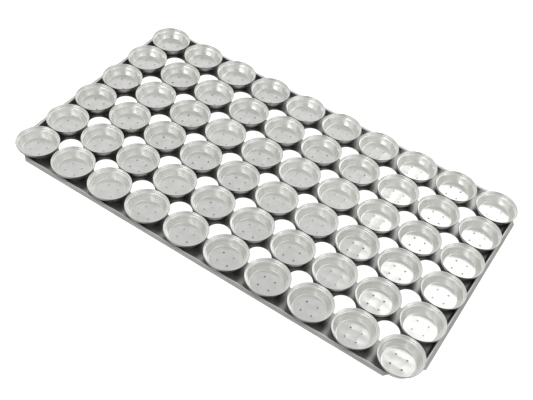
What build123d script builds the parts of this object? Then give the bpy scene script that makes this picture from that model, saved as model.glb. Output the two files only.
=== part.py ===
from build123d import *

import os
from math import atan, cos, degrees, radians, tan

# Pie tray: small round pie tins spot-welded in a grid onto one folded carrier sheet.
# Millimetres, Z up. The origin is the centre of the tray at the level it rests on.
# X runs along the tray's length, Y across it.

# Tins: how many, how wide at the rim, and the gaps between neighbouring rims
rows = 6
places = 10
rim_diameter = 70.0
rim_gap_along = 3.4
rim_gap_across = 0.5

# Tin: a shallow drawn cup. Its wall leans out to a narrow ledge, and above the ledge an
# upright band ends in a tight curl at the rim.
tin_height = 18.0
tin_metal = 0.5
floor_diameter = 51.6
floor_bend_radius = 1.5
wall_top_diameter = 62.6
ledge_height = 13.5
ledge_rise = 0.3
ledge_bend_radius = 2.5
band_bend_radius = 0.6
curl_diameter = 1.4

# Spot-weld marks pressed into each tin's floor, four in a square
weld_spacing = 18.2
weld_mark_diameter = 3.0
weld_mark_depth = 0.15
weld_flat_share = 0.6

# Carrier sheet: flat, with a round airflow hole between each four tins
sheet_metal = 1.0
airflow_hole_diameter = 39.0

# Folded edge: a leaning wall round the sheet, then a lip that droops outwards
foot_clearance = 0.7
edge_lean = radians(20.7)
edge_height = 9.8
sheet_bend_radius = 1.0
lip_width = 7.4
lip_droop = 3.3
lip_end_trim = 8.0
cut_overrun = 2.0

place_pitch = rim_diameter + rim_gap_along
row_pitch = rim_diameter + rim_gap_across
rim_radius = rim_diameter / 2
curl_radius = curl_diameter / 2
band_radius = rim_radius - curl_diameter
wall_top_radius = wall_top_diameter / 2
floor_radius = floor_diameter / 2

# The tin's wall leans out from the floor to the ledge
wall_lean = atan((wall_top_radius - floor_radius) / (ledge_height - tin_metal))
base_radius = floor_radius - tin_metal * tan(wall_lean) + tin_metal / cos(wall_lean)

# Reaches of the folded edge, outward from the centre line of the outermost tins
foot_reach = base_radius + foot_clearance
crest_reach = foot_reach + edge_height * tan(edge_lean)
lip_reach = crest_reach + lip_width
flat_reach = foot_reach - sheet_bend_radius * tan((radians(90) - edge_lean) / 2)
half_grid_x = place_pitch * (places - 1) / 2
half_grid_y = row_pitch * (rows - 1) / 2


def edge_section(plane):
    """The folded edge in cross-section: plane x runs outward from the outer tins' line."""
    with BuildSketch(plane) as section:
        with BuildLine():
            FilletPolyline(
                (flat_reach - sheet_metal, 0),
                (foot_reach, 0),
                (crest_reach, edge_height),
                (lip_reach, edge_height - lip_droop),
                radius=[sheet_bend_radius, sheet_bend_radius + sheet_metal],
            )
            offset(amount=sheet_metal, side=Side.RIGHT)
        make_face()
    return section.sketch


# Carrier sheet: one piece, cut flat, punched, and folded along its four sides
with BuildPart() as carrier_sheet:
    with BuildSketch():
        RectangleRounded(
            (half_grid_x + flat_reach) * 2, (half_grid_y + flat_reach) * 2, flat_reach
        )
        with GridLocations(place_pitch, row_pitch, places - 1, rows - 1):
            Circle(airflow_hole_diameter / 2, mode=Mode.SUBTRACT)
    extrude(amount=sheet_metal)

    # The four folded sides end level with the corner tins' centres
    for outward, along, half_run, offset_out in (
        ((1, 0, 0), (0, 1, 0), half_grid_y, half_grid_x),
        ((-1, 0, 0), (0, 1, 0), half_grid_y, half_grid_x),
        ((0, 1, 0), (1, 0, 0), half_grid_x, half_grid_y),
        ((0, -1, 0), (1, 0, 0), half_grid_x, half_grid_y),
    ):
        start = Vector(outward) * offset_out + Vector(0, 0, sheet_metal)
        side_plane = Plane(origin=start, x_dir=outward, z_dir=Vector(outward).cross(Vector(0, 0, 1)))
        extrude(edge_section(side_plane), amount=half_run, both=True)

    # Each end of each lip is trimmed at a slant, so the corners stay open
    with BuildSketch(Plane.XY.offset(-cut_overrun)) as lip_ends:
        far_reach = lip_reach + cut_overrun
        far_trim = lip_end_trim * (far_reach - crest_reach) / lip_width
        for corner in (
            [
                (half_grid_x + cut_overrun, half_grid_y + crest_reach),
                (half_grid_x, half_grid_y + crest_reach),
                (half_grid_x - far_trim, half_grid_y + far_reach),
                (half_grid_x + cut_overrun, half_grid_y + far_reach),
            ],
            [
                (half_grid_x + crest_reach, half_grid_y + cut_overrun),
                (half_grid_x + crest_reach, half_grid_y),
                (half_grid_x + far_reach, half_grid_y - far_trim),
                (half_grid_x + far_reach, half_grid_y + cut_overrun),
            ],
        ):
            with BuildLine():
                Polyline(*corner, close=True)
            make_face()
        mirror(about=Plane.YZ)
        mirror(about=Plane.XZ)
    extrude(amount=sheet_metal + edge_height + cut_overrun * 2, mode=Mode.SUBTRACT)

carrier_sheet.part.label = "carrier_sheet"


def pie_tin(centre_x, centre_y):
    """One drawn tin, standing on the carrier sheet with its centre at the given place."""
    section_plane = Plane(origin=(centre_x, centre_y, sheet_metal), x_dir=(1, 0, 0), z_dir=(0, -1, 0))
    floor_plane = Plane.XY.offset(sheet_metal + tin_metal - weld_mark_depth / 2)
    with BuildPart() as tin:
        with BuildSketch(section_plane):
            with BuildLine():
                FilletPolyline(
                    (0, tin_metal),
                    (floor_radius, tin_metal),
                    (wall_top_radius, ledge_height),
                    (band_radius, ledge_height + ledge_rise),
                    (band_radius, tin_height - curl_radius),
                    radius=[floor_bend_radius, ledge_bend_radius, band_bend_radius],
                )
                offset(amount=tin_metal, side=Side.RIGHT)
            make_face()
            with Locations((rim_radius - curl_radius, tin_height - curl_radius)):
                Circle(curl_radius)
        revolve(axis=Axis((centre_x, centre_y, 0), (0, 0, 1)))
        with Locations(floor_plane):
            with Locations((centre_x, centre_y)):
                with GridLocations(weld_spacing, weld_spacing, 2, 2):
                    Cone(
                        weld_mark_diameter / 2 * weld_flat_share,
                        weld_mark_diameter / 2,
                        weld_mark_depth,
                        mode=Mode.SUBTRACT,
                    )
    return tin.part


os.makedirs("parts", exist_ok=True)
export_step(carrier_sheet.part, "parts/carrier_sheet.step")

# Rows count from the front, places from the left. The last two tins of the last row
# are two solids of one node, which keeps the tray to sixty nodes.
tins = {}
for row in range(rows):
    for place in range(places):
        centre_x = place * place_pitch - half_grid_x
        centre_y = row * row_pitch - half_grid_y
        tins[row + 1, place + 1] = pie_tin(centre_x, centre_y)

last_pair = [tins.pop((rows, places - 1)), tins.pop((rows, places))]
for (row, place), tin in tins.items():
    name = f"pie_tin_row{row}_place{place:02d}"
    tin.label = name
    export_step(tin, f"parts/{name}.step")

pair_name = f"pie_tins_row{rows}_place{places - 1:02d}_and_{places:02d}"
pair = Compound(label=pair_name, children=last_pair)
export_step(pair, f"parts/{pair_name}.step")

print("pitch along and across", place_pitch, row_pitch)
print("length and width", (half_grid_x + lip_reach) * 2, (half_grid_y + lip_reach) * 2)
print("wall lean in degrees", round(degrees(wall_lean), 2))
print("foot, crest and lip reach", round(foot_reach, 2), round(crest_reach, 2), round(lip_reach, 2))
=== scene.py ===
from math import pi, radians, tan

import bmesh
import bpy
from mathutils import Matrix, Vector


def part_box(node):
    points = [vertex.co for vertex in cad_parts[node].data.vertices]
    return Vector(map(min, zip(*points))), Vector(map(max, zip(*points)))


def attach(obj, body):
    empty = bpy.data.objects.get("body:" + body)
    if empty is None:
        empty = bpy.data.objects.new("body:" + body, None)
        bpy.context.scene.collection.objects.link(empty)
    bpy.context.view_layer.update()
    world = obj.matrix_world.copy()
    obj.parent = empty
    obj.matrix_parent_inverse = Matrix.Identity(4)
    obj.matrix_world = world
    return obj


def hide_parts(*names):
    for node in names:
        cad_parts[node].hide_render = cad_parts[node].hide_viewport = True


# Pie tray, in metres. X runs along the tray, Y across it from the front row, Z up.
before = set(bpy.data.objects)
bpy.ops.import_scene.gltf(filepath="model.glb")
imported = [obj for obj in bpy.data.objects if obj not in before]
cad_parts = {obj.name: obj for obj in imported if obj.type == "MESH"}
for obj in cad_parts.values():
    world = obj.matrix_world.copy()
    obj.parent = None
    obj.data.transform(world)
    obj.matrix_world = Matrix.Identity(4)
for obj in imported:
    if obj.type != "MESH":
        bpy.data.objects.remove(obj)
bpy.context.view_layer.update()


# Carrier sheet: aluminised steel, one millimetre thick, cut flat and punched with a round
# airflow hole between each four tins. Its sides are folded up into a low leaning wall with a
# lip that droops outwards, and the corners are left open. The tins' welds show underneath.
first_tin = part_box("pie_tin_row1_place01")
next_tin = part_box("pie_tin_row1_place02")
tin_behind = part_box("pie_tin_row2_place01")
sheet_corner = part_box("carrier_sheet")[1]
rows = 6
places = 10
place_pitch = next_tin[0].x - first_tin[0].x
row_pitch = tin_behind[0].y - first_tin[0].y
half_grid_x = place_pitch * (places - 1) / 2
half_grid_y = row_pitch * (rows - 1) / 2
sheet_metal = first_tin[0].z
edge_lean = radians(20.7)
edge_height = 0.0098
lip_width = 0.0074
foot_bend_radius = 0.001
lip_reach = sheet_corner.x - half_grid_x
crest_reach = lip_reach - lip_width
foot_reach = crest_reach - edge_height * tan(edge_lean)
crest_height = edge_height + sheet_metal
weld_spacing = 0.0182
weld_mark_radius = 0.0015
weld_flat_share = 0.6
weld_crown_share = 1.12
weld_soft_share = 0.15
carrier_sizes = {
    "Places": places,
    "Rows": rows,
    "Place Pitch": place_pitch,
    "Row Pitch": row_pitch,
    "Metal": sheet_metal,
    "Hole Radius": 0.0195,
    "Flat Reach": foot_reach - foot_bend_radius * tan((radians(90) - edge_lean) / 2),
    "Foot Reach": foot_reach,
    "Crest Reach": crest_reach,
    "Lip Reach": lip_reach,
    "Edge Height": edge_height,
    "Lip Droop": 0.0033,
    "Foot Bend": foot_bend_radius,
    "End Trim": 0.008,
    "Edge Rounding": 0.0002,
    "Flat Band": 0.001,
    "Weld Spacing": weld_spacing,
    "Mark Radius": weld_mark_radius,
    "Mark Depth": 0.00015,
    "Crown Height": 0.0,
    "Collar Radius": 0.0023,
    "Hole Steps": 48,
    "Corner Steps": 10,
    "Bend Steps": 5,
    "Weld Steps": 12,
}
mark_sizes = ("Mark Radius", "Mark Depth", "Crown Height", "Collar Radius", "Weld Steps")
rounding_steps = 2
join_gap = 0.000004
sharp_turn = radians(40)
quarter_turn = pi / 2
half_turn = pi
whole_turn = 2 * pi
sheet_grey = (0.45, 0.45, 0.44, 1)
sheet_grey_worn = (0.61, 0.61, 0.595, 1)
# The next grey is the painted highlight on the lips' edges and the fold's crest
sheet_painted_highlight = (0.82, 0.82, 0.8, 1)
heat_brown = (0.16, 0.125, 0.1, 1)

# The sheet's finish: how fine each pattern is, where wear, weld heat and the painted highlight on
# the lips and crest reach, how much each adds to the roughness, and the height of the bumps
rolling_stretch = (0.02, 1, 1)
fine_grain_scale = 2600
broad_grain_scale = 420
patch_scale = 22
noise_roughness = 0.55
grain_share = 0.5
patch_share = 0.6
worn_from, worn_to = 0.35, 0.75
# Where the painted highlight lies on the lips' edges and the crest, and how strong it is
lip_highlight_from, lip_highlight_to = -0.0014, -0.0004
lip_highlight = 0.3
crest_highlight_from, crest_highlight_to = -0.0015, -0.0008
least_highlight = 0.3
heat_from, heat_to = 0.0012, 0.0034
heat_strength = 0.75
sheet_roughness = 0.2
grain_roughness = 0.16
patch_roughness = 0.1
heat_roughness = 0.2
bump_strength = 0.25
bump_height = 0.00004


def start_tree(name, sizes):
    """An empty geometry tree with one named input for each size."""
    tree = bpy.data.node_groups.new(name, "GeometryNodeTree")
    kinds = {int: "NodeSocketInt", float: "NodeSocketFloat", str: "NodeSocketGeometry"}
    for label, value in sizes.items():
        tree.interface.new_socket(label, in_out="INPUT", socket_type=kinds[type(value)])
    tree.interface.new_socket("Shape", in_out="OUTPUT", socket_type="NodeSocketGeometry")
    return tree, tree.nodes.new("NodeGroupInput").outputs


def wire(tree, socket, value):
    """Sets an input, or links it to a node, an output, or each of a list of them."""
    for source in value if isinstance(value, list) else [value]:
        if isinstance(source, bpy.types.Node):
            source = next(output for output in source.outputs if output.enabled)
        if isinstance(source, bpy.types.NodeSocket):
            tree.links.new(source, socket)
        else:
            socket.default_value = source


def add(tree, kind, wires=None, **settings):
    """One more node, with its settings, and its inputs wired by name or number."""
    node = tree.nodes.new(kind)
    for setting, value in settings.items():
        setattr(node, setting, value)
    for socket, value in (wires or {}).items():
        wire(tree, node.inputs[socket], value)
    return node


def work_out(tree, operation, *terms):
    """A sum, product or other operation on numbers."""
    return add(tree, "ShaderNodeMath", dict(enumerate(terms)), operation=operation)


def end_tree(tree, shape):
    """Gives the tree its output, and the finished tree back."""
    add(tree, "NodeGroupOutput", {"Shape": shape})
    return tree


def bent_line(tree, corners, bends, steps):
    """A line through corners given as (reach, height), each rounded by its bend radius."""
    straight = add(tree, "GeometryNodeCurvePrimitiveLine")
    line = add(tree, "GeometryNodeResampleCurve", {"Curve": straight, "Count": len(corners)})
    number = add(tree, "GeometryNodeInputIndex")
    place = add(tree, "GeometryNodeIndexSwitch", {"Index": number}, data_type="VECTOR")
    bend = add(tree, "GeometryNodeIndexSwitch", {"Index": number}, data_type="FLOAT")
    for item, ((reach, height), radius) in enumerate(zip(corners, bends), 1):
        if item > len(place.index_switch_items):
            place.index_switch_items.new()
            bend.index_switch_items.new()
        wire(tree, place.inputs[item], add(tree, "ShaderNodeCombineXYZ", {"X": reach, "Z": height}))
        wire(tree, bend.inputs[item], radius)
    placed = add(tree, "GeometryNodeSetPosition", {"Geometry": line, "Position": place})
    wires = {"Curve": placed, "Count": steps, "Radius": bend}
    return add(tree, "GeometryNodeFilletCurve", wires, mode="POLY")


def read_point(tree, line, value, number):
    """The value that a line's point of that number holds."""
    wires = {"Geometry": line, "Value": value, "Index": number}
    return add(tree, "GeometryNodeSampleIndex", wires, data_type="FLOAT_VECTOR", domain="POINT")


def count_points(tree, line):
    """How many points a line has."""
    size = add(tree, "GeometryNodeAttributeDomainSize", {"Geometry": line}, component="CURVE")
    return size.outputs["Point Count"]


def outline_tree():
    """The closed outline of sheet metal whose upper side follows a line."""
    sizes = {"Line": "", "Metal": 0.0, "Edge Rounding": 0.0}
    tree, given = start_tree("sheet metal outline", sizes)
    count = count_points(tree, given["Line"])
    both_sides = work_out(tree, "MULTIPLY", count, 2)
    straight = add(tree, "GeometryNodeCurvePrimitiveLine")
    blank = add(tree, "GeometryNodeResampleCurve", {"Curve": straight, "Count": both_sides})
    step = add(tree, "GeometryNodeInputIndex")
    last = work_out(tree, "SUBTRACT", both_sides, 1)
    number = work_out(tree, "MINIMUM", step, work_out(tree, "SUBTRACT", last, step))
    on_underside = work_out(tree, "LESS_THAN", step, count)
    upper = read_point(tree, given["Line"], add(tree, "GeometryNodeInputPosition"), number)
    along = read_point(tree, given["Line"], add(tree, "GeometryNodeInputTangent"), number)
    down = add(tree, "ShaderNodeVectorMath", {0: (0, 1, 0), 1: along}, operation="CROSS_PRODUCT")
    depth = work_out(tree, "MULTIPLY", given["Metal"], on_underside)
    offset = add(tree, "ShaderNodeVectorMath", {0: down, "Scale": depth}, operation="SCALE")
    place = add(tree, "ShaderNodeVectorMath", {0: upper, 1: offset}, operation="ADD")
    outline = add(tree, "GeometryNodeSetPosition", {"Geometry": blank, "Position": place})
    # Only the two corners of the metal's far edge are rounded
    last_upper = work_out(tree, "SUBTRACT", count, 1)
    half_step = 0.5
    edge = work_out(tree, "COMPARE", number, last_upper, half_step)
    rounding = work_out(tree, "MULTIPLY", edge, given["Edge Rounding"])
    wires = {"Curve": outline, "Count": rounding_steps, "Radius": rounding}
    return end_tree(tree, add(tree, "GeometryNodeFilletCurve", wires, mode="POLY"))


def spun_tree():
    """An outline spun about the upright axis, through the whole turn or a part of it."""
    tree, given = start_tree("spun outline", {"Outline": "", "Steps": 1, "Turn": 0.0})
    count = count_points(tree, given["Outline"])
    wires = {"Vertices X": work_out(tree, "ADD", given["Steps"], 1), "Vertices Y": count}
    blank = add(tree, "GeometryNodeMeshGrid", wires)
    step = add(tree, "GeometryNodeInputIndex")
    column = work_out(tree, "FLOOR", work_out(tree, "DIVIDE", step, count))
    number = work_out(tree, "SUBTRACT", step, work_out(tree, "MULTIPLY", column, count))
    point = read_point(tree, given["Outline"], add(tree, "GeometryNodeInputPosition"), number)
    one_step = work_out(tree, "DIVIDE", given["Turn"], given["Steps"])
    wires = {"Vector": point, "Angle": work_out(tree, "MULTIPLY", column, one_step)}
    turned = add(tree, "ShaderNodeVectorRotate", wires, rotation_type="Z_AXIS")
    wires = {"Geometry": blank.outputs["Mesh"], "Position": turned}
    placed = add(tree, "GeometryNodeSetPosition", wires)
    wires = {"Geometry": placed, "Distance": join_gap}
    return end_tree(tree, add(tree, "GeometryNodeMergeByDistance", wires))


def spun(tree, outline, steps, turn=whole_turn):
    """An outline spun into solid metal, the whole turn unless another is given."""
    wires = {"Outline": outline, "Steps": steps, "Turn": turn}
    return add(tree, "GeometryNodeGroup", wires, node_tree=spun_outline)


def weld_mark_tree():
    """The shallow round mark that a spot welder's tip presses into flat metal."""
    tree, given = start_tree("weld mark", {size: carrier_sizes[size] for size in mark_sizes})
    radius, collar = given["Mark Radius"], given["Collar Radius"]
    sunk = work_out(tree, "MULTIPLY", given["Mark Depth"], -1)
    flat = work_out(tree, "MULTIPLY", radius, weld_flat_share)
    crown = work_out(tree, "MULTIPLY", radius, weld_crown_share)
    soft = work_out(tree, "MULTIPLY", radius, weld_soft_share)
    corners = [(collar, 0), (crown, given["Crown Height"]), (flat, sunk), (0, sunk)]
    line = bent_line(tree, corners, [0, soft, soft, 0], steps=1)
    return end_tree(tree, spun(tree, line, given["Weld Steps"]))


def folded_side_tree():
    """One folded side: an outline run along the X axis, its lip trimmed at a slant."""
    sizes = {"Outline": "", "Half Run": 0.0, "Line Out": 0.0}
    sizes |= {"Crest Reach": 0.0, "Lip Reach": 0.0, "End Trim": 0.0}
    tree, given = start_tree("folded side", sizes)
    count = count_points(tree, given["Outline"])
    blank = add(tree, "GeometryNodeMeshGrid", {"Vertices X": 2, "Vertices Y": count})
    step = add(tree, "GeometryNodeInputIndex")
    far_end = work_out(tree, "SUBTRACT", 1, work_out(tree, "LESS_THAN", step, count))
    number = work_out(tree, "SUBTRACT", step, work_out(tree, "MULTIPLY", far_end, count))
    point = read_point(tree, given["Outline"], add(tree, "GeometryNodeInputPosition"), number)
    reach = add(tree, "ShaderNodeSeparateXYZ", {0: point})
    past_crest = work_out(tree, "SUBTRACT", reach.outputs["X"], given["Crest Reach"])
    lip = work_out(tree, "SUBTRACT", given["Lip Reach"], given["Crest Reach"])
    share = work_out(tree, "DIVIDE", work_out(tree, "MAXIMUM", past_crest, 0), lip)
    trim = work_out(tree, "MULTIPLY", share, given["End Trim"])
    run = work_out(tree, "SUBTRACT", given["Half Run"], trim)
    side = work_out(tree, "SUBTRACT", 1, work_out(tree, "MULTIPLY", far_end, 2))
    along = work_out(tree, "MULTIPLY", side, run)
    out = work_out(tree, "ADD", given["Line Out"], reach.outputs["X"])
    place = add(tree, "ShaderNodeCombineXYZ", {"X": along, "Y": out, "Z": reach.outputs["Z"]})
    wires = {"Geometry": blank.outputs["Mesh"], "Position": place}
    return end_tree(tree, add(tree, "GeometryNodeSetPosition", wires))


def grid_of(tree, points_x, points_y, pitch_x, pitch_y):
    """Points in a centred grid."""
    size_x = work_out(tree, "MULTIPLY", pitch_x, work_out(tree, "SUBTRACT", points_x, 1))
    size_y = work_out(tree, "MULTIPLY", pitch_y, work_out(tree, "SUBTRACT", points_y, 1))
    wires = {"Size X": size_x, "Size Y": size_y, "Vertices X": points_x, "Vertices Y": points_y}
    return add(tree, "GeometryNodeMeshGrid", wires).outputs["Mesh"]


def at_points(tree, points, shape):
    """The shape at each point, as real geometry."""
    copies = add(tree, "GeometryNodeInstanceOnPoints", {"Points": points, "Instance": shape})
    return add(tree, "GeometryNodeRealizeInstances", {"Geometry": copies})


def placed_at(tree, shape, x=0, y=0, z=0, turn=(0, 0, 0)):
    """The shape turned, then moved."""
    place = add(tree, "ShaderNodeCombineXYZ", {"X": x, "Y": y, "Z": z})
    wires = {"Geometry": shape, "Translation": place, "Rotation": turn}
    return add(tree, "GeometryNodeTransform", wires)


def round_gap(tree, steps, radius):
    """A circle that leaves a round gap in a filled flat."""
    wires = {"Resolution": steps, "Radius": radius}
    return add(tree, "GeometryNodeCurvePrimitiveCircle", wires).outputs["Curve"]


def filled(tree, lines):
    """A flat face inside the outer line and outside the others."""
    together = add(tree, "GeometryNodeJoinGeometry", {0: lines})
    return add(tree, "GeometryNodeFillCurve", {0: together})


def carrier_sheet_tree():
    """The whole sheet: flat, holes, corners, folded sides and the weld marks underneath."""
    tree, given = start_tree("carrier sheet", carrier_sizes)
    metal, band, rounding = given["Metal"], given["Flat Band"], given["Edge Rounding"]
    pitches = given["Place Pitch"], given["Row Pitch"]
    fewer_places = work_out(tree, "SUBTRACT", given["Places"], 1)
    fewer_rows = work_out(tree, "SUBTRACT", given["Rows"], 1)
    half_x = work_out(tree, "DIVIDE", work_out(tree, "MULTIPLY", fewer_places, pitches[0]), 2)
    half_y = work_out(tree, "DIVIDE", work_out(tree, "MULTIPLY", fewer_rows, pitches[1]), 2)
    hole_points = grid_of(tree, fewer_places, fewer_rows, *pitches)
    tin_points = grid_of(tree, given["Places"], given["Rows"], *pitches)
    four_points = grid_of(tree, 2, 2, given["Weld Spacing"], given["Weld Spacing"])

    # The flat, which ends a narrow band inside its real edges and round its gaps
    reach = given["Flat Reach"]
    inner_reach = work_out(tree, "SUBTRACT", reach, band)
    wires = {
        "Width": work_out(tree, "MULTIPLY", work_out(tree, "ADD", half_x, inner_reach), 2),
        "Height": work_out(tree, "MULTIPLY", work_out(tree, "ADD", half_y, inner_reach), 2),
    }
    blank = add(tree, "GeometryNodeCurvePrimitiveQuadrilateral", wires)
    wires = {"Curve": blank, "Count": given["Corner Steps"], "Radius": inner_reach}
    flat_outline = add(tree, "GeometryNodeFilletCurve", wires, mode="POLY")
    hole_band = work_out(tree, "ADD", given["Hole Radius"], band)
    hole_gap = round_gap(tree, given["Hole Steps"], hole_band)
    hole_gaps = at_points(tree, hole_points, hole_gap)
    weld_gap = round_gap(tree, given["Weld Steps"], given["Collar Radius"])
    weld_gaps = at_points(tree, tin_points, at_points(tree, four_points, weld_gap))
    upper_flat = placed_at(tree, filled(tree, [flat_outline, hole_gaps]), z=metal)
    lower_flat = filled(tree, [flat_outline, hole_gaps, weld_gaps])
    parts = [upper_flat, add(tree, "GeometryNodeFlipFaces", {0: lower_flat})]

    # The punched edge of each hole, slightly rounded
    hole = given["Hole Radius"]
    corners = [(hole_band, metal), (hole, metal), (hole, 0), (hole_band, 0)]
    hole_edge = bent_line(tree, corners, [0, rounding, rounding, 0], rounding_steps)
    parts.append(at_points(tree, hole_points, spun(tree, hole_edge, given["Hole Steps"])))

    # The cut edge of each round corner, a quarter turn about the corner tin
    corners = [(inner_reach, 0), (reach, 0), (reach, metal), (inner_reach, metal)]
    corner_edge = bent_line(tree, corners, [0, 0, 0, 0], steps=1)
    quarter = spun(tree, corner_edge, given["Corner Steps"], quarter_turn)
    for x, y, turn in ((half_x, half_y, 0), (half_y, half_x, quarter_turn)):
        corner = placed_at(tree, quarter, x, y)
        parts.append(placed_at(tree, corner, turn=(0, 0, turn)))
        parts.append(placed_at(tree, corner, turn=(0, 0, turn + half_turn)))

    # The folded sides share one outline, from the flat through both bends to the lip
    crest, bend = given["Crest Reach"], given["Foot Bend"]
    crest_top = work_out(tree, "ADD", given["Edge Height"], metal)
    lip_height = work_out(tree, "SUBTRACT", crest_top, given["Lip Droop"])
    corners = [(inner_reach, metal), (given["Foot Reach"], metal)]
    corners += [(crest, crest_top), (given["Lip Reach"], lip_height)]
    bends = [0, bend, work_out(tree, "ADD", bend, metal), 0]
    line = bent_line(tree, corners, bends, given["Bend Steps"])
    wires = {"Line": line, "Metal": metal, "Edge Rounding": rounding}
    outline = add(tree, "GeometryNodeGroup", wires, node_tree=metal_outline)
    for half_run, line_out, turn in ((half_x, half_y, 0), (half_y, half_x, quarter_turn)):
        wires = {"Outline": outline, "Half Run": half_run, "Line Out": line_out}
        wires |= {size: given[size] for size in ("Crest Reach", "Lip Reach", "End Trim")}
        side = add(tree, "GeometryNodeGroup", wires, node_tree=folded_side)
        parts.append(placed_at(tree, side, turn=(0, 0, turn)))
        parts.append(placed_at(tree, side, turn=(0, 0, turn + half_turn)))

    # The weld marks underneath, four to a tin
    wires = {size: given[size] for size in mark_sizes}
    mark = add(tree, "GeometryNodeGroup", wires, node_tree=weld_mark)
    four_marks = at_points(tree, four_points, placed_at(tree, mark, turn=(half_turn, 0, 0)))
    parts.append(at_points(tree, tin_points, four_marks))
    whole = add(tree, "GeometryNodeJoinGeometry", {0: parts})
    joined = add(tree, "GeometryNodeMergeByDistance", {"Geometry": whole, "Distance": join_gap})
    wires = {"Geometry": joined, "Material": sheet_steel}
    return end_tree(tree, add(tree, "GeometryNodeSetMaterial", wires))


def make_piece(name, tree, sizes):
    """Runs a tree with these sizes and keeps what it makes as the piece's plain mesh."""
    piece = bpy.data.objects.new(name, bpy.data.meshes.new(name))
    bpy.context.scene.collection.objects.link(piece)
    maker = piece.modifiers.new(tree.name, "NODES")
    maker.node_group = tree
    for item in tree.interface.items_tree:
        if item.in_out == "INPUT":
            maker[item.identifier] = sizes[item.name]
    evaluated = piece.evaluated_get(bpy.context.evaluated_depsgraph_get())
    mesh = bpy.data.meshes.new_from_object(evaluated)
    piece.modifiers.remove(maker)
    piece.data = mesh
    mesh.name = name
    return piece


def close_cut_ends(mesh):
    """Fills the open ends of the folded sides, where the sheet was sheared."""
    shape = bmesh.new()
    shape.from_mesh(mesh)
    open_edges = [edge for edge in shape.edges if edge.is_boundary]
    closed = bmesh.ops.holes_fill(shape, edges=open_edges, sides=0)
    bmesh.ops.triangulate(shape, faces=closed["faces"])
    bmesh.ops.recalc_face_normals(shape, faces=shape.faces)
    shape.to_mesh(mesh)
    shape.free()


def smooth_bends(mesh):
    """Smooth shading over the bends, with the cut edges kept crisp."""
    mesh.shade_smooth()
    mesh.set_sharp_from_angle(angle=sharp_turn)


def weld_distance(tree, x, y):
    """How far a point is from the nearest of a tin's four welds, x and y from its centre."""
    from_weld = [
        work_out(tree, "SUBTRACT", work_out(tree, "ABSOLUTE", value), weld_spacing / 2)
        for value in (x, y)
    ]
    flat_vector = add(tree, "ShaderNodeCombineXYZ", dict(enumerate(from_weld)))
    return add(tree, "ShaderNodeVectorMath", {0: flat_vector}, operation="LENGTH")


def from_to(tree, value, low, high, at_low=0.0, at_high=1.0):
    """A smooth change from one value to another between two readings."""
    wires = {"Value": value, "From Min": low, "From Max": high, "To Min": at_low, "To Max": at_high}
    return add(tree, "ShaderNodeMapRange", wires, interpolation_type="SMOOTHSTEP")


def noise(tree, place, scale, detail):
    """Uneven grey, from 0 to 1."""
    wires = {"Vector": place, "Scale": scale, "Detail": detail, "Roughness": noise_roughness}
    return add(tree, "ShaderNodeTexNoise", wires).outputs["Fac"]


def mixed(tree, share, first, second):
    """The first colour, with a share of the second."""
    wires = {"Factor": share, "A": first, "B": second}
    node = add(tree, "ShaderNodeMix", data_type="RGBA")
    for socket in node.inputs:
        if socket.enabled and socket.name in wires:
            wire(tree, socket, wires[socket.name])
    return next(output for output in node.outputs if output.enabled)


def sheet_steel_finish():
    """Aluminised steel: grey, with a lengthwise rolling grain, dull patches and weld heat."""
    finish = bpy.data.materials.new("sheet_steel")
    finish.use_nodes = True
    tree = finish.node_tree
    steel = tree.nodes["Principled BSDF"]
    place = add(tree, "ShaderNodeTexCoord").outputs["Object"]
    grain_place = add(tree, "ShaderNodeMapping", {"Vector": place, "Scale": rolling_stretch})
    fine_grain = noise(tree, grain_place, fine_grain_scale, detail=2.0)
    broad_grain = noise(tree, grain_place, broad_grain_scale, detail=3.0)
    patches = noise(tree, place, patch_scale, detail=4.0)
    grain = work_out(tree, "MULTIPLY", fine_grain, grain_share)
    grain = work_out(tree, "MULTIPLY_ADD", broad_grain, grain_share, grain)
    grain_wear = work_out(tree, "MULTIPLY", grain, grain_share)
    worn = work_out(tree, "MULTIPLY_ADD", patches, patch_share, grain_wear)
    worn = from_to(tree, worn, worn_from, worn_to)
    colour = mixed(tree, worn, sheet_grey, sheet_grey_worn)

    # The lips' outer edges and the crest of the fold are lightened in uneven patches: a painted
    # highlight
    apart = add(tree, "ShaderNodeSeparateXYZ", {0: place})
    past_lip = []
    for axis, half_size in (("X", half_grid_x + lip_reach), ("Y", half_grid_y + lip_reach)):
        from_middle = work_out(tree, "ABSOLUTE", apart.outputs[axis])
        past_lip.append(work_out(tree, "SUBTRACT", from_middle, half_size))
    furthest = work_out(tree, "MAXIMUM", *past_lip)
    outermost = from_to(tree, furthest, lip_highlight_from, lip_highlight_to)
    outermost = work_out(tree, "MULTIPLY", outermost, lip_highlight)
    height = apart.outputs["Z"]
    crest = from_to(tree, height, crest_height + crest_highlight_from, crest_height + crest_highlight_to)
    painted_highlight = work_out(tree, "MAXIMUM", outermost, crest)
    painted_highlight = work_out(tree, "MULTIPLY", painted_highlight, work_out(tree, "ADD", patches, least_highlight))
    colour = mixed(tree, painted_highlight, colour, sheet_painted_highlight)

    # Each weld has browned the metal round it
    from_tin = []
    for axis, pitch in (("X", place_pitch), ("Y", row_pitch)):
        from_gap = work_out(tree, "PINGPONG", apart.outputs[axis], pitch / 2)
        from_tin.append(work_out(tree, "SUBTRACT", pitch / 2, from_gap))
    near_weld = weld_distance(tree, *from_tin)
    heat = from_to(tree, near_weld, heat_from, heat_to, heat_strength, 0.0)
    wire(tree, steel.inputs["Base Color"], mixed(tree, heat, colour, heat_brown))
    steel.inputs["Metallic"].default_value = 1.0
    dull = work_out(tree, "MULTIPLY_ADD", grain, grain_roughness, sheet_roughness)
    dull = work_out(tree, "MULTIPLY_ADD", patches, patch_roughness, dull)
    dull = work_out(tree, "MULTIPLY_ADD", heat, heat_roughness, dull)
    wire(tree, steel.inputs["Roughness"], dull)
    wires = {"Height": grain, "Strength": bump_strength, "Distance": bump_height}
    wire(tree, steel.inputs["Normal"], add(tree, "ShaderNodeBump", wires))
    return finish


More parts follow.
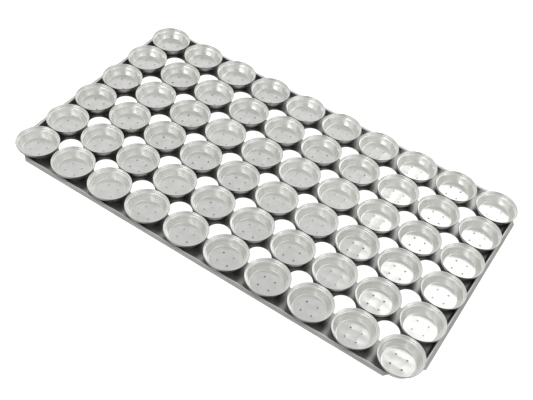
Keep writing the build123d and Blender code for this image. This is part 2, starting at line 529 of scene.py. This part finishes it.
spun_outline = spun_tree()
metal_outline = outline_tree()
weld_mark = weld_mark_tree()
folded_side = folded_side_tree()
sheet_steel = sheet_steel_finish()
carrier = make_piece("carrier_sheet_dressed", carrier_sheet_tree(), carrier_sizes)
close_cut_ends(carrier.data)
smooth_bends(carrier.data)
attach(carrier, "root")
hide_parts("carrier_sheet")


# Pie tins: six rows of ten shallow cups, each drawn from half-millimetre tinned steel. The
# wall leans out to a narrow ledge, and a short upright band above it ends in a tight curl.
# The floor lies on the carrier sheet, held by four spot welds in a square.
tin_height = first_tin[1].z - sheet_metal
rim_radius = (first_tin[1].x - first_tin[0].x) / 2
tin_sizes = {
    "Places": places,
    "Place Pitch": place_pitch,
    "Row Line": 0.0,
    "Row Number": 0,
    "Sheet Top": sheet_metal,
    "Metal": 0.0005,
    "Rim Radius": rim_radius,
    "Tin Height": tin_height,
    "Wall Top Radius": 0.0313,
    "Wall Bow": 0.00042,
    "Bow Bend": 0.03,
    "Ledge Height": 0.0135,
    "Ledge Rise": 0.0003,
    "Ledge Bend": 0.0014,
    "Band Bend": 0.0006,
    "Floor Radius": 0.0258,
    "Floor Bend": 0.0015,
    "Floor Band": 0.0024,
    "Curl Radius": 0.0007,
    "Edge Rounding": 0.0001,
    "Weld Spacing": weld_spacing,
    "Mark Radius": weld_mark_radius,
    "Mark Depth": 0.00015,
    "Crown Height": 0.00004,
    "Collar Radius": 0.0023,
    "Tin Steps": 72,
    "Bend Steps": 5,
    "Weld Steps": 12,
}
curl_line = tin_height - tin_sizes["Curl Radius"]
curl_bend_share = 0.98
curl_end_share = 1.1
tin_bright = (0.89, 0.89, 0.87, 1)
tin_dull = (0.8, 0.795, 0.775, 1)
tin_wall = (0.95, 0.955, 0.92, 1)
tin_smudge = (0.62, 0.61, 0.56, 1)
weld_grey = (0.12, 0.115, 0.11, 1)
# The outside's darker grey: partly oven dulling, partly painted shade between and under the tins
outside_dull_and_shade = (0.25, 0.245, 0.235, 1)
# Near-black for the painted shade under the curl
curl_painted_shade = (0.05, 0.045, 0.04, 1)

# The tins' finish: how fine each pattern is, how much it shows, where on the tin each
# change lies, and how much each adds to the roughness
millimetres_per_metre = 1000
rings_per_millimetre = 0.9
ring_drift = 0.4
ring_contrast = 0.9
smudge_scale = 60
speckle_scale = 700
stain_scale = 140
weld_patch_scale = 45
middle_grey = 0.5
shade_spread = 0.2
tone_from, tone_to = 0.3, 0.75
wall_from, wall_to = 0.0006, 0.003
wall_lightening = 0.3
stain_from, stain_to = 0.58, 0.78
stain_strength = 0.35
# Where the outside turns darker, partly oven dulling and partly painted shade
outside_from, outside_to = 0.05, 0.5
outside_dulling_and_shade = 0.95
# The painted shade band under the curl: where it starts and ends, and how dark it is
curl_shade_from, curl_shade_to = -0.0022, -0.0006
curl_shade_strength = 0.8
curl_shade_end_from, curl_shade_end_to = -0.0002, 0.0004
weld_from, weld_to = 0.0008, 0.0021
weld_contrast = 1.2
least_weld = 0.45
floor_top = 0.0008
tin_roughness = 0.1
smudge_roughness = 0.12
wall_roughness = 0.08
weld_roughness = 0.25
outside_roughness = 0.12
ring_bump_strength = 0.25
speckle_bump_strength = 0.12


def marked(tree, shape, name, value, **settings):
    """The shape, with a value kept on it under a name, for the finish to read."""
    wires = {"Geometry": shape, "Name": name, "Value": value}
    return add(tree, "GeometryNodeStoreNamedAttribute", wires, **settings)


def row_of_tins_tree():
    """One tin, repeated along its row, each copy with a shade of its own."""
    tree, given = start_tree("row of pie tins", tin_sizes)
    metal, height, rim = given["Metal"], given["Tin Height"], given["Rim Radius"]
    floor_flat = work_out(tree, "SUBTRACT", given["Floor Radius"], given["Floor Band"])
    curl_radius = given["Curl Radius"]
    curl_bend = work_out(tree, "MULTIPLY", curl_radius, curl_bend_share)
    curl_bottom = work_out(tree, "MULTIPLY_ADD", curl_radius, -2, height)
    curl_end = work_out(tree, "MULTIPLY_ADD", curl_radius, -curl_end_share, rim)
    band = work_out(tree, "MULTIPLY_ADD", curl_radius, -2, rim)
    ledge_end = work_out(tree, "ADD", given["Ledge Height"], given["Ledge Rise"])
    both_reaches = work_out(tree, "ADD", given["Floor Radius"], given["Wall Top Radius"])
    bow_reach = work_out(tree, "MULTIPLY_ADD", both_reaches, 0.5, given["Wall Bow"])
    bow_height = work_out(tree, "DIVIDE", work_out(tree, "ADD", metal, given["Ledge Height"]), 2)
    corners = [(floor_flat, metal), (given["Floor Radius"], metal), (bow_reach, bow_height)]
    corners += [(given["Wall Top Radius"], given["Ledge Height"]), (band, ledge_end)]
    corners += [(band, height), (rim, height), (rim, curl_bottom), (curl_end, curl_bottom)]
    bends = [0, given["Floor Bend"], given["Bow Bend"], given["Ledge Bend"], given["Band Bend"]]
    bends += [curl_bend, curl_bend, curl_bend, 0]
    line = bent_line(tree, corners, bends, given["Bend Steps"])
    wires = {"Line": line, "Metal": metal, "Edge Rounding": given["Edge Rounding"]}
    outline = add(tree, "GeometryNodeGroup", wires, node_tree=metal_outline)
    parts = [spun(tree, outline, given["Tin Steps"])]

    # The floor, with its four weld marks, and the flat underside
    floor_edge = round_gap(tree, given["Tin Steps"], floor_flat)
    four_points = grid_of(tree, 2, 2, given["Weld Spacing"], given["Weld Spacing"])
    weld_gap = round_gap(tree, given["Weld Steps"], given["Collar Radius"])
    weld_gaps = at_points(tree, four_points, weld_gap)
    wires = {size: given[size] for size in mark_sizes}
    mark = add(tree, "GeometryNodeGroup", wires, node_tree=weld_mark)
    parts.append(placed_at(tree, filled(tree, [floor_edge, weld_gaps]), z=metal))
    parts.append(placed_at(tree, at_points(tree, four_points, mark), z=metal))
    parts.append(add(tree, "GeometryNodeFlipFaces", {0: filled(tree, [floor_edge])}))
    whole = add(tree, "GeometryNodeJoinGeometry", {0: parts})
    tin = add(tree, "GeometryNodeMergeByDistance", {"Geometry": whole, "Distance": join_gap})
    spot = add(tree, "GeometryNodeInputPosition")
    tin = marked(tree, tin, "tin_place", spot, data_type="FLOAT_VECTOR", domain="POINT")

    # How far each point faces outwards or down, for the darker outside: partly oven dulling, partly
    # painted shade between and under the tins
    facing = add(tree, "GeometryNodeInputNormal")
    level = add(tree, "ShaderNodeVectorMath", {0: spot, 1: (1, 1, 0)}, operation="MULTIPLY")
    outward = add(tree, "ShaderNodeVectorMath", {0: level}, operation="NORMALIZE")
    wires = {0: facing, 1: outward}
    facing_out = add(tree, "ShaderNodeVectorMath", wires, operation="DOT_PRODUCT").outputs["Value"]
    facing_up = add(tree, "ShaderNodeSeparateXYZ", {0: facing}).outputs["Z"]
    facing_down = work_out(tree, "MULTIPLY", facing_up, -1)
    most = work_out(tree, "MAXIMUM", facing_out, facing_down)
    tin = marked(tree, tin, "tin_outside", most, data_type="FLOAT", domain="POINT")

    # The row, each tin with a shade of its own
    steps = work_out(tree, "SUBTRACT", given["Places"], 1)
    run = work_out(tree, "MULTIPLY", steps, given["Place Pitch"])
    start_x = work_out(tree, "DIVIDE", run, -2)
    wires = {"X": start_x, "Y": given["Row Line"], "Z": given["Sheet Top"]}
    start = add(tree, "ShaderNodeCombineXYZ", wires)
    pitch = add(tree, "ShaderNodeCombineXYZ", {"X": given["Place Pitch"]})
    wires = {"Count": given["Places"], "Start Location": start, "Offset": pitch}
    centres = add(tree, "GeometryNodeMeshLine", wires, mode="OFFSET")
    row = add(tree, "GeometryNodeInstanceOnPoints", {"Points": centres, "Instance": tin})
    shade = add(tree, "FunctionNodeRandomValue", {"Seed": given["Row Number"]}, data_type="FLOAT")
    row = marked(tree, row, "tin_shade", shade, data_type="FLOAT", domain="INSTANCE")
    real = add(tree, "GeometryNodeRealizeInstances", {"Geometry": row})
    wires = {"Geometry": real, "Material": tin_steel}
    return end_tree(tree, add(tree, "GeometryNodeSetMaterial", wires))


def tin_steel_finish():
    """Tinned steel: satin silver, ringed by drawing, smudged by use, dark at the welds."""
    finish = bpy.data.materials.new("tin_steel")
    finish.use_nodes = True
    tree = finish.node_tree
    steel = tree.nodes["Principled BSDF"]
    place = add(tree, "ShaderNodeTexCoord").outputs["Object"]
    tin_place = add(tree, "ShaderNodeAttribute", attribute_name="tin_place").outputs["Vector"]
    shade = add(tree, "ShaderNodeAttribute", attribute_name="tin_shade").outputs["Fac"]
    apart = add(tree, "ShaderNodeSeparateXYZ", {0: tin_place})
    x, y, height = apart.outputs
    flat = add(tree, "ShaderNodeCombineXYZ", {"X": x, "Y": y})
    reach = add(tree, "ShaderNodeVectorMath", {0: flat}, operation="LENGTH").outputs["Value"]

    # Rings left by the drawing punch: steady round the tin, quick across it
    direction = add(tree, "ShaderNodeVectorMath", {0: flat}, operation="NORMALIZE")
    slow = add(tree, "ShaderNodeVectorMath", {0: direction, "Scale": ring_drift}, operation="SCALE")
    slow_apart = add(tree, "ShaderNodeSeparateXYZ", {0: slow})
    along = work_out(tree, "ADD", reach, height)
    along = work_out(tree, "MULTIPLY", along, millimetres_per_metre)
    wires = {"X": slow_apart.outputs["X"], "Y": slow_apart.outputs["Y"], "Z": along}
    ring_place = add(tree, "ShaderNodeCombineXYZ", wires)
    rings = noise(tree, ring_place, rings_per_millimetre, detail=3.0)
    smudges = noise(tree, place, smudge_scale, detail=4.0)
    speckle = noise(tree, place, speckle_scale, detail=2.0)
    stains = noise(tree, place, stain_scale, detail=5.0)
    weld_patches = noise(tree, place, weld_patch_scale, detail=1.0)

    # On the wall the rings show, on the floor hardly
    on_wall = from_to(tree, height, wall_from, wall_to)
    ringed = work_out(tree, "SUBTRACT", rings, middle_grey)
    ringed = work_out(tree, "MULTIPLY", ringed, on_wall)
    tone = work_out(tree, "MULTIPLY_ADD", ringed, ring_contrast, smudges)
    own_shade = work_out(tree, "SUBTRACT", shade, middle_grey)
    tone = work_out(tree, "MULTIPLY_ADD", own_shade, shade_spread, tone)
    colour = mixed(tree, from_to(tree, tone, tone_from, tone_to), tin_bright, tin_dull)
    lighter = work_out(tree, "MULTIPLY", on_wall, wall_lightening)
    colour = mixed(tree, lighter, colour, tin_wall)
    stained = from_to(tree, stains, stain_from, stain_to, 0.0, stain_strength)
    colour = mixed(tree, stained, colour, tin_smudge)

    # Outside, the steel is darker and duller: partly oven dulling, partly painted shade between and
    # under the tins. Under the curl a near-black band is painted shade
    facing_out = add(tree, "ShaderNodeAttribute", attribute_name="tin_outside").outputs["Fac"]
    outside = from_to(tree, facing_out, outside_from, outside_to)
    dulled_and_shaded = work_out(tree, "MULTIPLY", outside, outside_dulling_and_shade)
    colour = mixed(tree, dulled_and_shaded, colour, outside_dull_and_shade)
    # A near-black band on the outside just under the curl: painted shade
    under = from_to(tree, height, curl_line + curl_shade_from, curl_line + curl_shade_to, 0.0, curl_shade_strength)
    off_curl = from_to(tree, height, curl_line + curl_shade_end_from, curl_line + curl_shade_end_to, 1.0, 0.0)
    curl_shade = work_out(tree, "MULTIPLY", work_out(tree, "MULTIPLY", under, off_curl), outside)
    colour = mixed(tree, curl_shade, colour, curl_painted_shade)

    # The welds' dark marks, on the floor alone, stronger in some tins than in others
    marks = from_to(tree, weld_distance(tree, x, y), weld_from, weld_to, 1.0, 0.0)
    marks = work_out(tree, "MULTIPLY", marks, work_out(tree, "LESS_THAN", height, floor_top))
    uneven = work_out(tree, "MULTIPLY", weld_patches, weld_contrast)
    uneven = work_out(tree, "MULTIPLY", uneven, work_out(tree, "ADD", shade, least_weld))
    weld = work_out(tree, "MULTIPLY", marks, uneven)
    wire(tree, steel.inputs["Base Color"], mixed(tree, weld, colour, weld_grey))
    steel.inputs["Metallic"].default_value = 1.0
    dull = work_out(tree, "MULTIPLY_ADD", smudges, smudge_roughness, tin_roughness)
    dull = work_out(tree, "MULTIPLY_ADD", on_wall, wall_roughness, dull)
    dull = work_out(tree, "MULTIPLY_ADD", weld, weld_roughness, dull)
    dull = work_out(tree, "MULTIPLY_ADD", outside, outside_roughness, dull)
    wire(tree, steel.inputs["Roughness"], dull)
    strength = work_out(tree, "MULTIPLY", on_wall, ring_bump_strength)
    wires = {"Height": rings, "Strength": strength, "Distance": bump_height}
    ring_bump = add(tree, "ShaderNodeBump", wires)
    wires = {"Height": speckle, "Strength": speckle_bump_strength, "Distance": bump_height}
    wires["Normal"] = ring_bump
    wire(tree, steel.inputs["Normal"], add(tree, "ShaderNodeBump", wires))
    return finish


tin_steel = tin_steel_finish()
tins_in_a_row = row_of_tins_tree()
for row in range(1, rows + 1):
    row_line = (row - 1) * row_pitch - half_grid_y
    row_sizes = tin_sizes | {"Row Line": row_line, "Row Number": row}
    tins = make_piece(f"pie_tins_row{row}", tins_in_a_row, row_sizes)
    smooth_bends(tins.data)
    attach(tins, "root")
    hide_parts(*[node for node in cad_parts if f"_row{row}_" in node])


# Studio: a plain white floor under the tray, a soft sky that is darker overhead, three soft
# light panels, and the camera at the photograph's viewpoint.
floor_drop = 0.0002
floor_half = 40
floor_white = (0.8, 0.8, 0.8, 1)
floor_glow = 0.9
floor_roughness = 0.9
floor_corners = [
    (side_x * floor_half, side_y * floor_half, -floor_drop)
    for side_x, side_y in ((-1, -1), (1, -1), (1, 1), (-1, 1))
]
floor_mesh = bpy.data.meshes.new("floor")
floor_mesh.from_pydata(floor_corners, [], [(0, 1, 2, 3)])
floor = bpy.data.objects.new("floor", floor_mesh)
bpy.context.scene.collection.objects.link(floor)
floor_paper = bpy.data.materials.new("floor_white")
floor_paper.use_nodes = True
paper = floor_paper.node_tree.nodes["Principled BSDF"]
paper.inputs["Base Color"].default_value = floor_white
paper.inputs["Roughness"].default_value = floor_roughness
paper.inputs["Emission Color"].default_value = (1, 1, 1, 1)
paper.inputs["Emission Strength"].default_value = floor_glow
floor_mesh.materials.append(floor_paper)
floor.visible_diffuse = False

# The sky's strength by height: full below, less from the first height up to the second
below_ground, ground_level = -0.5, 0.0
ground_strength = 0.85
low_sky, high_sky = 0.45, 0.9
low_strength, high_strength = 0.84, 0.62

# Darker and lighter patches: where each lies, how near it starts and is full, and its change
sky_patches = (
    ((0.408, -0.875, 0.259), 0.84, 0.97, -0.38),
    ((0.534, 0.659, 0.53), 0.9, 0.98, -0.24),
    ((0.69, -0.03, 0.723), 0.8, 0.96, 0.17),
)
surroundings = bpy.data.worlds.new("studio")
bpy.context.scene.world = surroundings
surroundings.use_nodes = True
sky = surroundings.node_tree
sky.nodes["Background"].inputs["Color"].default_value = (1, 1, 1, 1)
outlook = add(sky, "ShaderNodeTexCoord").outputs["Generated"]
upward = add(sky, "ShaderNodeSeparateXYZ", {0: outlook}).outputs["Z"]
above_ground = from_to(sky, upward, below_ground, ground_level, ground_strength, 1.0)
daylight = from_to(sky, upward, low_sky, high_sky, low_strength, high_strength)
daylight = work_out(sky, "MULTIPLY", daylight, above_ground)
for direction, start, full, change in sky_patches:
    wires = {0: outlook, 1: direction}
    nearness = add(sky, "ShaderNodeVectorMath", wires, operation="DOT_PRODUCT").outputs["Value"]
    patch = from_to(sky, nearness, start, full, 0.0, change)
    daylight = work_out(sky, "ADD", daylight, patch)
wire(sky, sky.nodes["Background"].inputs["Strength"], daylight)


def panel(name, place, aim, width, height, watts):
    """A soft light panel facing a point, unseen itself."""
    lamp = bpy.data.lights.new(name, "AREA")
    lamp.shape = "ELLIPSE"
    lamp.size, lamp.size_y = width, height
    lamp.energy = watts
    holder = bpy.data.objects.new(name, lamp)
    bpy.context.scene.collection.objects.link(holder)
    turn = (Vector(aim) - Vector(place)).to_track_quat("-Z", "Y").to_matrix().to_4x4()
    holder.matrix_world = Matrix.Translation(place) @ turn
    holder.visible_camera = False
    return holder


panel("back_panel", place=(0.38, 2.2, 2.03), aim=(0.1, 0, 0), width=1.55, height=1.8, watts=4.4)
panel("front_panel", place=(-0.35, -2.5, 0.68), aim=(0, 0, 0), width=1.7, height=1.2, watts=8.5)
panel("right_panel", place=(2.6, 0.0, 0.6), aim=(0, 0, 0), width=1.2, height=1.4, watts=3.5)

camera_place = Vector((0.4205, -0.8828, 1.0055))
camera_aim = Vector((0.0196, -0.0351, 0))
camera_roll = Matrix.Rotation(radians(10.12), 4, "Z")
focal_length = 58.11
lens = bpy.data.cameras.new("camera")
lens.lens = focal_length
camera = bpy.data.objects.new("camera", lens)
bpy.context.scene.collection.objects.link(camera)
camera_turn = (camera_aim - camera_place).to_track_quat("-Z", "Y").to_matrix().to_4x4()
camera.matrix_world = Matrix.Translation(camera_place) @ camera_turn @ camera_roll
bpy.context.scene.camera = camera
bpy.context.scene.view_settings.view_transform = "Standard"
